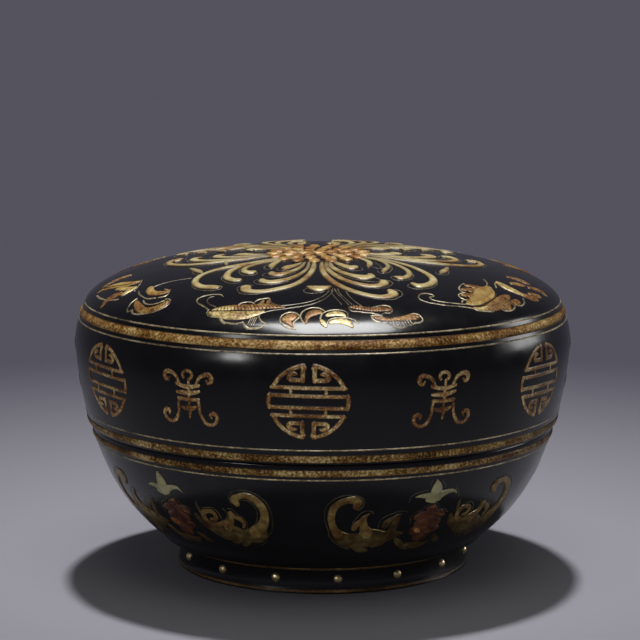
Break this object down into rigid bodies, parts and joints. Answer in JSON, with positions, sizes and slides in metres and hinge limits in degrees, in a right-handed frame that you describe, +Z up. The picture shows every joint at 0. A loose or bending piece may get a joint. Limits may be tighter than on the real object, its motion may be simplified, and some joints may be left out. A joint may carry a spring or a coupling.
{
  "type": "round lidded trinket box",
  "caption": "Round turned trinket box in gilt black lacquer: a bowl with a locating lip on a studded foot ring, under a domed lid that lifts straight off.",
  "frame": {"origin": "centre of the foot ring's resting face, on the table", "axes": "+Z up along the box's axis and the way the lid lifts; -Y towards the front, the side that the picture shows"},
  "size_m": [0.12, 0.12, 0.0767],
  "materials": {
    "black_lacquer": "polished black lacquer over turned wood",
    "gilt_lacquer": "worn gilt lacquer over a moulded bead",
    "stud_brass": "aged polished brass"
  },
  "bodies": {
    "bowl": {"bowl_shell": "black_lacquer", "locating_lip": "black_lacquer", "bowl_rim_bead": "gilt_lacquer", "foot_ring": "black_lacquer", "foot_lower_bead": "gilt_lacquer", "foot_upper_bead": "gilt_lacquer", "foot_stud_01": "stud_brass", "foot_stud_02": "stud_brass", "foot_stud_03": "stud_brass", "foot_stud_04": "stud_brass", "foot_stud_05": "stud_brass", "foot_stud_06": "stud_brass", "foot_stud_07": "stud_brass", "foot_stud_08": "stud_brass", "foot_stud_09": "stud_brass", "foot_stud_10": "stud_brass", "foot_stud_11": "stud_brass", "foot_stud_12": "stud_brass", "foot_stud_13": "stud_brass", "foot_stud_14": "stud_brass", "foot_stud_15": "stud_brass"},
    "lid": {"lid_shell": "black_lacquer", "lid_shoulder_bead": "gilt_lacquer", "lid_rim_bead": "gilt_lacquer"}
  },
  "joints": [
    {"name": "lid_lift", "type": "slide", "parent": "bowl", "child": "lid", "axis": [0, 0, 1], "range_m": [0, 0.06]}
  ]
}
